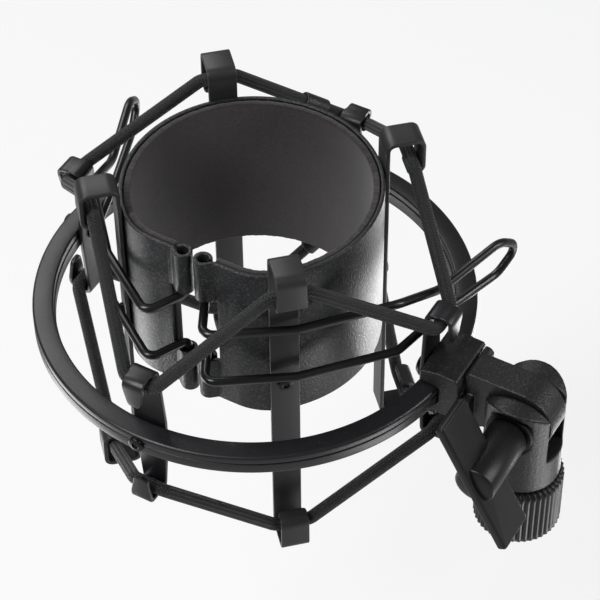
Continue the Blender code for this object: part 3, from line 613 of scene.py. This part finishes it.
def sleevePlan(inset, end):
    # half of the plan, from the flat beside the split round to the far side, at a depth below the
    # outer face: a flat, an arc that blends it in, and the main arc
    flat, blendRound, main = sleeve["flat"] - inset, sleeve["blend"] - inset, sleeve["outer"] - inset
    centreU = flat - blendRound
    centreV = np.sqrt((sleeve["outer"] - sleeve["blend"]) ** 2 - centreU ** 2)
    meet = np.arctan2(centreV, centreU)
    straight = np.linspace(end, centreV, 12, endpoint=False)
    first = np.linspace(0, meet, 24, endpoint=False)
    second = np.linspace(meet, np.pi, 90)
    u = np.concatenate([np.full(len(straight), flat), centreU + blendRound * np.cos(first),
                        main * np.cos(second)])
    v = np.concatenate([straight, centreV + blendRound * np.sin(first), main * np.sin(second)])
    return np.column_stack([u, v, np.zeros(len(u))])


def bothSides(half):
    return np.concatenate([half, half[-2::-1] * [1, -1, 1]])


def makeShell():
    # one curved sheet from notch to notch, and four rolled knuckles that start on its flats
    middle = (sleeve["top"] + sleeve["bottom"]) / 2
    wall = spaced(bothSides(sleevePlan(sleeve["sheet"] / 2, sleeve["notch"])), 0.5) + [0, 0, middle]
    parts = [strip(wall, [0, 0, 1], sleeve["sheet"], sleeve["top"] - sleeve["bottom"], 0.2)]
    u, v, r = sleeve["flat"] - sleeve["sheet"] / 2, sleeve["knuckleAt"], sleeve["knuckleRound"]
    lead, wrap = np.radians(sleeve["leadIn"]), np.radians(sleeve["rolled"])
    meetU, meetV = u + r * np.sin(lead), v + r * np.cos(lead)
    kinkV = meetV + (meetU - u) * np.tan(lead)
    roll = np.linspace(lead, lead + wrap, 60)
    curl = np.column_stack([u + r * np.sin(roll), v + r * np.cos(roll), np.zeros(len(roll))])
    lip = fillet([(u, sleeve["notch"] + 0.6, 0), (u, kinkV, 0), (meetU, meetV, 0)], 0.9)
    rolled = spaced(np.concatenate([lip[:-1], curl]), 0.15)
    for side in (1, -1):
        for low, high in ((sleeve["bottom"], sleeve["bottom"] + sleeve["bottomKnuckle"]),
                          (sleeve["top"] - sleeve["topKnuckle"], sleeve["top"])):
            path = rolled * [1, side, 1] + [0, 0, (low + high) / 2]
            parts.append(strip(path, [0, 0, 1], sleeve["sheet"] - 0.02, high - low - 0.04, 0.2))
    return [gridPart(onCradle(part, splitAngle)) for part in parts]


def makeLining():
    # a thick soft strip just inside the shell, its cut ends and rims a little uneven
    middle = (sleeve["top"] + sleeve["bottom"]) / 2
    inset = sleeve["sheet"] + lining["gap"] + lining["thick"] / 2
    path = spaced(bothSides(sleevePlan(inset, lining["end"])), lining["step"]) + [0, 0, middle]
    tall = sleeve["top"] - sleeve["bottom"] - 2 * lining["short"]
    grid = strip(path, [0, 0, 1], lining["thick"], tall, lining["edge"], 4)
    station = np.arange(len(grid)) * lining["step"]
    ripple = 0.05 * np.sin(station * 1.7) + 0.04 * np.sin(station * 4.3 + 1) + 0.03 * np.sin(station * 9.1)
    rim = np.sign(grid[..., 2] - middle)
    grid[..., 2] += rim * ripple[:, None]
    return [gridPart(onCradle(grid, splitAngle))]


addPiece("sleeveShell", makeShell(), sleevePaint, "sleeve", ["sleeve_shell"])
addPiece("feltLining", makeLining(), felt, "sleeve", ["felt_lining"], 60)

strap = {"line": 29.4, "sheet": 1.0, "width": 6.5, "top": 39.0, "bottom": -47.0, "reach": 8.0,
         "tongue": 8.5, "lip": 3.4, "bend": 1.7, "corner": 1.1, "draw": 0.8, "rivetAt": 0.5,
         "angles": [-77, 13, 103, 193]}


def makeStrap(angle):
    # a sheet strip in the sleeve's radial plane with a closed hook at each end
    out = strap["line"] + strap["reach"]

    def hook(level, way):
        end = level + way * strap["tongue"]
        return [(out - strap["lip"], 0, end + way * 0.4), (out, 0, end), (out, 0, level),
                (strap["line"], 0, level)]

    corners = hook(strap["top"], -1) + hook(strap["bottom"], 1)[::-1]
    path = spaced(fillet(corners, strap["bend"]), 0.3)
    along = lengthAlong(path)
    fromEnd = np.minimum(along, along[-1] - along)
    width = strap["width"] - 2 * cornerDraw(fromEnd, strap["corner"]) * strap["draw"]
    return [gridPart(onCradle(strip(path, [0, 1, 0], strap["sheet"], width), angle))]


strapOuter = strap["line"] + strap["sheet"] / 2
for number, angle in enumerate(strap["angles"], 1):
    addPiece(f"strap{number}", makeStrap(angle), strapPaint, "sleeve", [f"strap_{number}"])
    lift = np.array([0, 0, strap["rivetAt"]])
    shapes = [rivetHead(strapOuter + 0.05, 1), pinAlong(sleeve["outer"] - 0.8, strapOuter, rivet["shank"])]
    addPiece(f"strapRivet{number}", [gridPart(onCradle(shape + lift, angle)) for shape in shapes],
             blackSteel, "sleeve", [f"strap_rivet_{number}"])
print("sleeve, felt and straps made")


# Wire handles

handle = {"wire": 1.0, "bend": 2.4, "wide": 5.5, "high": 19.2, "low": 4.6, "inKnuckle": 10.0}


def handleRoute():
    # (out towards the split, along the tangent, height): up out of one knuckle, round the strap, under
    # the upper cord, out over the ring, back at the lower level and down into the other knuckle
    u, v = sleeve["flat"] - sleeve["sheet"] / 2, sleeve["knuckleAt"]
    high, low, deep = handle["high"], handle["low"], handle["inKnuckle"]
    outward = [(u, v, high), (33.4, 7.0, high), (22.2, 23.6, high), (5.2, 38.7, high), (-7.9, 42.2, 13.73),
               (-24.8, 48.0, 16.23), (-31.0, 50.0, 11.41)]
    back = [(-24.8, 48.0, 6.6), (-8.5, 42.5, 6.0), (5.2, 38.8, low), (22.2, 23.6, low), (33.4, 7.0, low),
            (u, v, low)]
    route = [(u, v, high + deep)] + outward + back + [(u, v, low - deep)]
    narrow, wide = handle["bend"], handle["wide"]
    radii = [0, 1.6, narrow, 5, 5, 8, wide, wide, wide, 8, 5, 5, narrow, 1.6, 0]
    return spaced(fillet(route, radii, 12), 0.35)


for name, body, side in (("handleRight", "handle_right", 1), ("handleLeft", "handle_left", -1)):
    wire = tube(handleRoute() * [1, side, 1], handle["wire"], 18)
    addPiece(name, [gridPart(onCradle(wire, splitAngle))], wireCoat, body, [body])
print("handles made")


# Elastic cords

cord = {"round": 1.5, "room": 0.4, "offPost": 0.4, "overPost": 0.2, "bend": 2.6, "fromEdge": 0.8,
        "step": 0.5}
crimp = {"round": 2.4, "long": 7.0, "from": 3.5, "wall": 0.25}


def around(degrees, out, along, height):
    angle = np.radians(degrees)
    return [out * np.cos(angle) - along * np.sin(angle), out * np.sin(angle) + along * np.cos(angle), height]


def cordCorners(strapHeight, postHeight):
    # where the cord bends: at both edges of each strap's hook and of each post's hook in turn
    strapOut = strap["line"] + strap["reach"] - strap["sheet"] / 2 - cord["round"] - cord["room"]
    postOut = post["line"] + post["sheet"] / 2 + cord["room"] + cord["round"] + cord["offPost"]
    strapSide = strap["width"] / 2 + cord["fromEdge"]
    postSide = post["neck"] / 2 + cord["fromEdge"]
    corners = []
    for strapAngle, postAngle in zip(strap["angles"], post["angles"]):
        corners += [around(strapAngle, strapOut, side * strapSide, strapHeight) for side in (-1, 1)]
        corners += [around(postAngle, postOut, side * postSide, postHeight) for side in (-1, 1)]
    return np.array(corners)


def makeCord(level):
    underHook = strap["sheet"] / 2 + cord["room"] + cord["round"]
    overPost = post["sheet"] / 2 + cord["overPost"] + cord["round"]
    if level == "upper":
        heights = strap["top"] - strap["tongue"] + underHook, post["middle"] + post["rise"] - overPost
    else:
        heights = strap["bottom"] + strap["tongue"] - underHook, post["middle"] - post["rise"] + overPost
    corners = cordCorners(*heights)
    path = spaced(fillet(corners, cord["bend"], 10, closed=True), cord["step"], closed=True)
    grid = tube(path, cord["round"], 20, closed=True)
    turns = np.arange(len(path)) * cord["step"] / (2 * np.pi * cord["round"])
    piece = addPiece(f"elastic_{level}_look", [gridPart(onCradle(grid), closedRows=True, uvAlong=turns)],
                     cordCover, None, [f"elastic_{level}"], 60)
    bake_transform(piece)
    along = unit(corners[8] - corners[7])
    middle = corners[7] + along * (cord["round"] + crimp["from"] + crimp["long"] / 2)
    return middle, along


def makeCrimp(level, middle, along):
    # a short shrunk sleeve round the cord's joint, its ends rolled in
    half, r, hole = crimp["long"] / 2, crimp["round"] - crimp["wall"], cord["round"] + 0.1
    corners = [(hole, 0), (hole, -half), (r, -half + 0.3), (r, half - 0.3), (hole, half), (hole, 0)]
    profile = softProfile(corners, [0.01, 0.3, 0.5, 0.5, 0.3, 0.01])[1:]
    grid = turned(profile, 32)
    side = unit(np.cross(along, [0, 0, 1]))
    up = np.cross(side, along)
    grid = middle + grid[..., :1] * side + grid[..., 1:2] * up + grid[..., 2:] * along
    addPiece(f"crimp_{level}_look", [gridPart(onCradle(grid), closedRows=True)], castPaint, "cradle",
             [f"elastic_crimp_{level}"])


for level in ("upper", "lower"):
    makeCrimp(level, *makeCord(level))
print("cords made")


# Swivel

# each piece: its name, CAD node, material, body and slot, then the grid's cell and the relaxing passes
for settings in (
        ("ringBracket", "ring_bracket", castPaint, "cradle", "swivel_paint", 0.22, 8),
        ("swivelArm", "swivel_arm", castPaint, "cradle", "swivel_paint", 0.22, 8),
        ("standPost", "stand_post", castPaint, "post", "swivel_paint", 0.26, 6),
        ("bracketScrew", "bracket_screw", blackSteel, "cradle", "black_steel"),
        ("pivotNut", "pivot_nut", plainSteel, "post", "plain_steel", 0.12, 4),
        ("pivotWasher", "pivot_washer", blackSteel, "post", "black_steel"),
        ("retainingClip", "retaining_clip", plainSteel, "post", "plain_steel")):
    castPiece(*settings)

screw = {"shank": 3.0, "hub": 4.6, "hubFrom": 8.6, "hubLong": 16.8, "tip": 8.2, "wingLong": 34.0,
         "wingWide": 10.5, "wingThick": 2.2, "wingAngle": 61.0, "wingPast": 1.0, "corner": 0.7, "edge": 0.55}


def roundedBox(width, height, corner, steps=6):
    # corners of a rectangle in a plane, each one turned through a quarter circle
    turn = np.linspace(0, np.pi / 2, steps + 1)
    signs = [(1, 1), (-1, 1), (-1, -1), (1, -1)]
    arcs = [np.column_stack([sx * (width / 2 - corner) + corner * np.cos(turn + k * np.pi / 2),
                             sy * (height / 2 - corner) + corner * np.sin(turn + k * np.pi / 2)])
            for k, (sx, sy) in enumerate(signs)]
    return np.concatenate(arcs)


def makeThumbscrew():
    # a turned hub along the pivot, with a slightly domed end, and a flat wing set through it
    start, end = screw["hubFrom"], screw["hubFrom"] + screw["hubLong"]
    dome = [(screw["hub"] * np.cos(a), end - 1.0 + 1.0 * np.sin(a)) for a in np.linspace(0, 1.45, 10)]
    profile = [(screw["shank"], -screw["tip"]), (screw["shank"], start), (screw["hub"] - 0.4, start),
               (screw["hub"], start + 0.5)] + dome
    hub = turned(profile, 64)
    hub = np.stack([hub[..., 0], -hub[..., 2], hub[..., 1]], -1)
    outline = roundedBox(screw["wingLong"], screw["wingWide"], screw["corner"])
    half = screw["wingThick"] / 2
    wing = softPrism(outline, -half, half, screw["edge"])
    tilt = np.radians(screw["wingAngle"])
    x, y, z = wing[..., 0], wing[..., 1], wing[..., 2]
    wing = np.stack([x * np.cos(tilt) + z * np.sin(tilt),
                     y - end - screw["wingPast"] + screw["wingWide"] / 2,
                     -x * np.sin(tilt) + z * np.cos(tilt)], -1)
    return [gridPart(onSwivel(hub)), gridPart(onSwivel(wing))]


addPiece("thumbscrewLook", makeThumbscrew(), knobPlastic, "thumbscrew", ["thumbscrew"])

collar = {"outer": 9.85, "high": 16.0, "knurls": 44, "deep": 0.45, "bevel": 0.9, "roof": 3.4, "neck": 6.3,
          "bore": 8.2, "mouth": 0.4, "threadDeep": 0.45, "pitch": 0.94, "sideRows": 14, "boreRows": 150}


def makeCollar():
    # a turned section whose outer radius dips between the knurls, and whose bore carries a helix:
    # the bore's radius follows a triangle wave of height over pitch less the angle in turns
    bevel, high, out = collar["bevel"], collar["high"], collar["outer"]
    roof = high - collar["roof"]
    sideRows, boreRows, roofRows = collar["sideRows"], collar["boreRows"], 4
    side = np.linspace(bevel, high - bevel, sideRows)
    bore = np.linspace(roof - 0.3, 0.3, boreRows)
    radius = np.concatenate([[out - bevel], np.full(sideRows, out),
                             [out - bevel, collar["neck"], collar["neck"], collar["bore"]],
                             np.full(boreRows, collar["bore"]), [collar["bore"] + collar["mouth"]]])
    height = np.concatenate([[0], side, [high, high, roof, roof], bore, [0]])
    ridged = np.concatenate([[0], np.ones(sideRows), np.zeros(roofRows + boreRows + 1)])
    threaded = np.concatenate([np.zeros(1 + sideRows + roofRows), np.ones(boreRows), [0]])
    sides = collar["knurls"] * 8
    turn = np.linspace(0, 2 * np.pi, sides, endpoint=False)
    wave = np.abs((turn * collar["knurls"] / (2 * np.pi)) % 1 - 0.5) * 2
    dip = collar["deep"] * wave ** 1.5
    helix = np.abs((height[:, None] / collar["pitch"] - turn / (2 * np.pi)) % 1 - 0.5) * 2
    full = radius[:, None] - ridged[:, None] * dip - threaded[:, None] * collar["threadDeep"] * helix
    drop = np.array([0, 0, pivot[2] / mm])
    heights = np.broadcast_to(height[:, None], full.shape)
    grid = np.stack([full * np.cos(turn), full * np.sin(turn), heights], -1)
    return [gridPart(onSwivel(grid - drop), closedRows=True)]


addPiece("knurledCollar", makeCollar(), collarPaint, "collar", ["knurled_collar"], 50)
print("swivel made")


# Floor, light and camera

studio = {"floorDrop": 0.11, "floorSize": 6.0, "floorColour": (0.30, 0.30, 0.305), "floorGlow": 0.68,
          "floorBounce": 0.29, "sky": 0.97, "skyBounce": 0.16, "panelLift": 0.004}


def addLight(name, place, size, power, target):
    # a soft rectangular light that faces the target
    light = bpy.data.lights.new(name, "AREA")
    light.shape = "RECTANGLE"
    light.size, light.size_y = size
    light.energy = power
    lamp = bpy.data.objects.new(name, light)
    bpy.context.scene.collection.objects.link(lamp)
    back = unit(place - target)
    side = unit(np.cross([0.001, 0, 1], back))
    turnTo = Matrix(np.column_stack([side, np.cross(back, side), back]).tolist()).to_4x4()
    turnTo.translation = tuple(place)
    lamp.matrix_world = turnTo
    lamp.visible_camera = False


def makeStudio():
    size = studio["floorSize"] / 2
    drop = float(cadBox[0][2]) - studio["floorDrop"]
    mesh = bpy.data.meshes.new("floor")
    corners = [(-size, -size, drop), (size, -size, drop), (size, size, drop), (-size, size, drop)]
    mesh.from_pydata(corners, [], [(0, 1, 2, 3)])
    # the paper looks pale, and throws less light back at the object than it shows
    material, tree, shader, _ = newMaterial("floorPaper", 0.9)
    shader.inputs["Base Color"].default_value = (*studio["floorColour"], 1)
    shader.inputs["Emission Color"].default_value = (1, 1, 1, 1)
    seen = node(tree, "ShaderNodeLightPath").outputs["Is Camera Ray"]
    extra = studio["floorGlow"] - studio["floorBounce"]
    glow = sums(tree, "MULTIPLY_ADD", seen, extra, studio["floorBounce"])
    tree.links.new(glow, shader.inputs["Emission Strength"])
    mesh.materials.append(material)
    floor = bpy.data.objects.new("floor", mesh)
    bpy.context.scene.collection.objects.link(floor)
    world = bpy.data.worlds.new("studioWorld")
    bpy.context.scene.world = world
    world.use_nodes = True
    tree = world.node_tree
    sky = tree.nodes["Background"]
    sky.inputs["Color"].default_value = (1, 1, 1, 1)
    seen = node(tree, "ShaderNodeLightPath").outputs["Is Camera Ray"]
    extra = studio["sky"] - studio["skyBounce"]
    level = sums(tree, "MULTIPLY_ADD", seen, extra, studio["skyBounce"])
    tree.links.new(level, sky.inputs["Strength"])
    # each light: its place and what it faces, from the ring's centre, its size and its power
    middle = (0, 0, 0)
    table = drop + studio["panelLift"] - ringCentre[2]
    lights = {
        "keyBox": ((-0.44, -0.33, 0.58), middle, (0.14, 0.55), 4.0),
        "fillBox": ((0.70, -0.12, 0.40), middle, (0.10, 0.55), 2.4),
        "backBox": ((-0.30, 0.50, 0.55), middle, (0.50, 0.30), 2.2),
        "tableLeft": ((-0.185, 0.02, table), (-0.185, 0.02, 1), (0.11, 0.17), 0.23),
        "tableRight": ((0.15, 0.12, table), (0.15, 0.12, 1), (0.15, 0.12), 0.27),
        "tableFront": ((0.175, -0.11, table), (0.175, -0.11, 1), (0.14, 0.12), 0.19)}
    for name, (place, target, size, power) in lights.items():
        addLight(name, ringCentre + place, size, power, ringCentre + target)


def makeCamera():
    # looks along the view direction from a distance, the picture's middle a little off the ring's centre
    view = {"lens": 142.1, "elevation": 45.99, "roll": -0.64, "distance": 532.05, "right": 10.09, "up": -2.6}
    tilt, roll = np.radians(view["elevation"]), np.radians(view["roll"])
    level = np.array([1.0, 0, 0])
    rise = np.array([0, np.sin(tilt), np.cos(tilt)])
    back = np.array([0, -np.cos(tilt), np.sin(tilt)])
    side = np.cos(roll) * level + np.sin(roll) * rise
    up = -np.sin(roll) * level + np.cos(roll) * rise
    place = ringCentre + (back * view["distance"] + side * view["right"] + up * view["up"]) * mm
    camera = bpy.data.objects.new("camera", bpy.data.cameras.new("camera"))
    camera.data.lens = view["lens"]
    camera.data.clip_start = 0.01
    bpy.context.scene.collection.objects.link(camera)
    stand = Matrix(np.column_stack([side, up, back]).tolist()).to_4x4()
    stand.translation = place
    camera.matrix_world = stand
    bpy.context.scene.camera = camera


makeStudio()
makeCamera()
bpy.context.scene.view_settings.view_transform = "Standard"
print("studio made")
